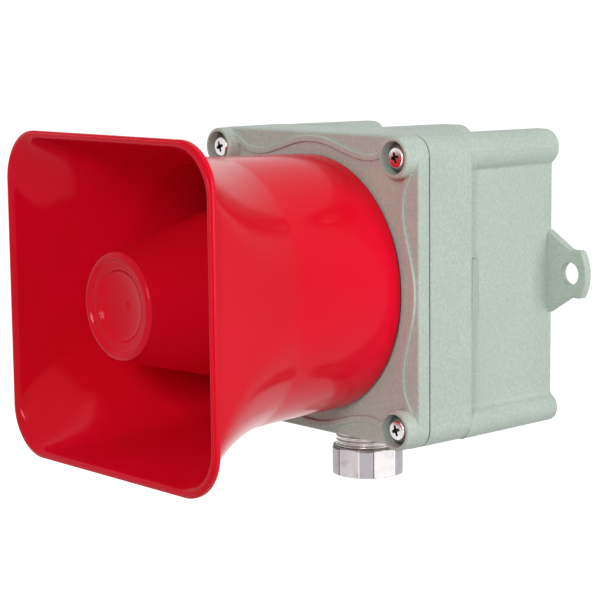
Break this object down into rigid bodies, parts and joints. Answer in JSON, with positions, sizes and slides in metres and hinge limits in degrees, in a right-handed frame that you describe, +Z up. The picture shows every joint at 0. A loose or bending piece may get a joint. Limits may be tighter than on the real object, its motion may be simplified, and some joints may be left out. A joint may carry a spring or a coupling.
{
  "type": "wall signal horn",
  "caption": "Wall-mounted alarm signal horn: cast square case with lugs and a cable gland, screwed cover, flared square bell with a re-entrant reflector and driver.",
  "frame": {"origin": "centre of the case's back face, which lies flat on the wall", "axes": "+Y into the wall along the back face's outward normal, the horn points along -Y, +X right seen from the front, +Z up"},
  "size_m": [0.189, 0.2277, 0.1815],
  "materials": {
    "case_paint": "pale grey-green hammered stoving enamel on cast aluminium",
    "horn_red": "glossy moulded red plastic",
    "seal_rubber": "black rubber sheet",
    "screw_chrome": "bright plated steel",
    "washer_dark": "dark grey sealing washer",
    "gland_cast": "satin cast zinc alloy",
    "gland_thread": "turned thread",
    "plated_steel": "zinc plated steel",
    "pole_steel": "black-passivated soft iron",
    "brass": "plain brass",
    "board_green": "green solder mask on glass laminate",
    "copper": "enamelled copper wire under tape",
    "capacitor_sleeve": "dark blue shrink sleeve",
    "sink_black": "black anodised extrusion",
    "chip_black": "moulded epoxy",
    "terminal_green": "moulded nylon",
    "fuse_glass": "glass cartridge",
    "switch_blue": "moulded nylon",
    "white_plastic": "moulded nylon",
    "plug_black": "moulded phenolic",
    "diaphragm_film": "formed phenolic film",
    "ferrite": "sintered ferrite",
    "lead_black": "insulated wire"
  },
  "bodies": {
    "case": {"rear_housing": "case_paint", "gland_body": "gland_thread", "gland_lock_nut": "gland_cast", "gland_seal": "seal_rubber", "earth_clamp": "brass", "earth_screw": "plated_steel", "board_standoffs": "brass", "circuit_board": "board_green", "board_screws": "plated_steel", "transformer_core": "pole_steel", "transformer_winding": "copper", "filter_capacitors": "capacitor_sleeve", "heat_sink": "sink_black", "amplifier_chip": "chip_black", "terminal_block": "terminal_green", "terminal_screws": "plated_steel", "fuse_holder": "chip_black", "fuse": "fuse_glass", "lead_socket": "chip_black", "tone_switch": "switch_blue", "volume_control": "switch_blue"},
    "cover": {"front_cover": "case_paint", "cover_seal": "seal_rubber", "screw_washers": "washer_dark", "cover_screws": "screw_chrome", "horn_bell": "horn_red", "horn_gasket": "seal_rubber", "horn_screws": "plated_steel", "throat_tube": "horn_red", "reflector_cone": "horn_red", "reflector_cap": "horn_red", "reflector_spider": "horn_red", "driver_plate": "plated_steel", "phase_plug": "plug_black", "clamp_ring": "plug_black", "surround": "diaphragm_film", "pole_plate": "pole_steel", "magnet": "ferrite", "back_plate": "pole_steel", "pole_piece": "pole_steel", "driver_can": "plated_steel", "driver_screws": "plated_steel", "driver_tabs": "brass", "lead_plug": "white_plastic", "driver_leads": "lead_black"},
    "moving_coil": {"diaphragm": "diaphragm_film", "voice_coil": "copper"},
    "gland_ring": {"gland_slip_ring": "plated_steel"},
    "cap_nut": {"gland_cap_nut": "gland_cast"},
    "volume_knob": {"volume_knob": "white_plastic"},
    "tone_slider_1": {"tone_slider_1": "white_plastic"},
    "tone_slider_2": {"tone_slider_2": "white_plastic"},
    "tone_slider_3": {"tone_slider_3": "white_plastic"},
    "tone_slider_4": {"tone_slider_4": "white_plastic"},
    "tone_slider_5": {"tone_slider_5": "white_plastic"}
  },
  "joints": [
    {"name": "cover_pull", "type": "slide", "parent": "case", "child": "cover", "axis": [0, -1, 0], "range_m": [0, 0.08]},
    {"name": "diaphragm_travel", "type": "slide", "parent": "cover", "child": "moving_coil", "axis": [0, -1, 0], "range_m": [-0.0004, 0.0004], "stiffness_N_per_m": 5000},
    {"name": "volume_turn", "type": "hinge", "parent": "case", "child": "volume_knob", "pos_m": [0.036, -0.026, -0.02], "axis": [0, -1, 0], "range_deg": [-135, 135]},
    {"name": "gland_ring_slide", "type": "slide", "parent": "case", "child": "gland_ring", "axis": [0, 0, -1], "range_m": [0, 0.003]},
    {"name": "cap_nut_turn", "type": "hinge", "parent": "gland_ring", "child": "cap_nut", "pos_m": [0, -0.0636, -0.095], "axis": [0, 0, -1], "range_deg": [0, 720]},
    {"name": "tone_slide_1", "type": "slide", "parent": "case", "child": "tone_slider_1", "axis": [0, 0, 1], "range_m": [0, 0.002]},
    {"name": "tone_slide_2", "type": "slide", "parent": "case", "child": "tone_slider_2", "axis": [0, 0, 1], "range_m": [0, 0.002]},
    {"name": "tone_slide_3", "type": "slide", "parent": "case", "child": "tone_slider_3", "axis": [0, 0, 1], "range_m": [0, 0.002]},
    {"name": "tone_slide_4", "type": "slide", "parent": "case", "child": "tone_slider_4", "axis": [0, 0, 1], "range_m": [0, 0.002]},
    {"name": "tone_slide_5", "type": "slide", "parent": "case", "child": "tone_slider_5", "axis": [0, 0, 1], "range_m": [0, 0.002]}
  ],
  "couplings": [
    {"joint": "cap_nut_turn", "follows": "gland_ring_slide", "rad_per_m": 4188.8}
  ]
}
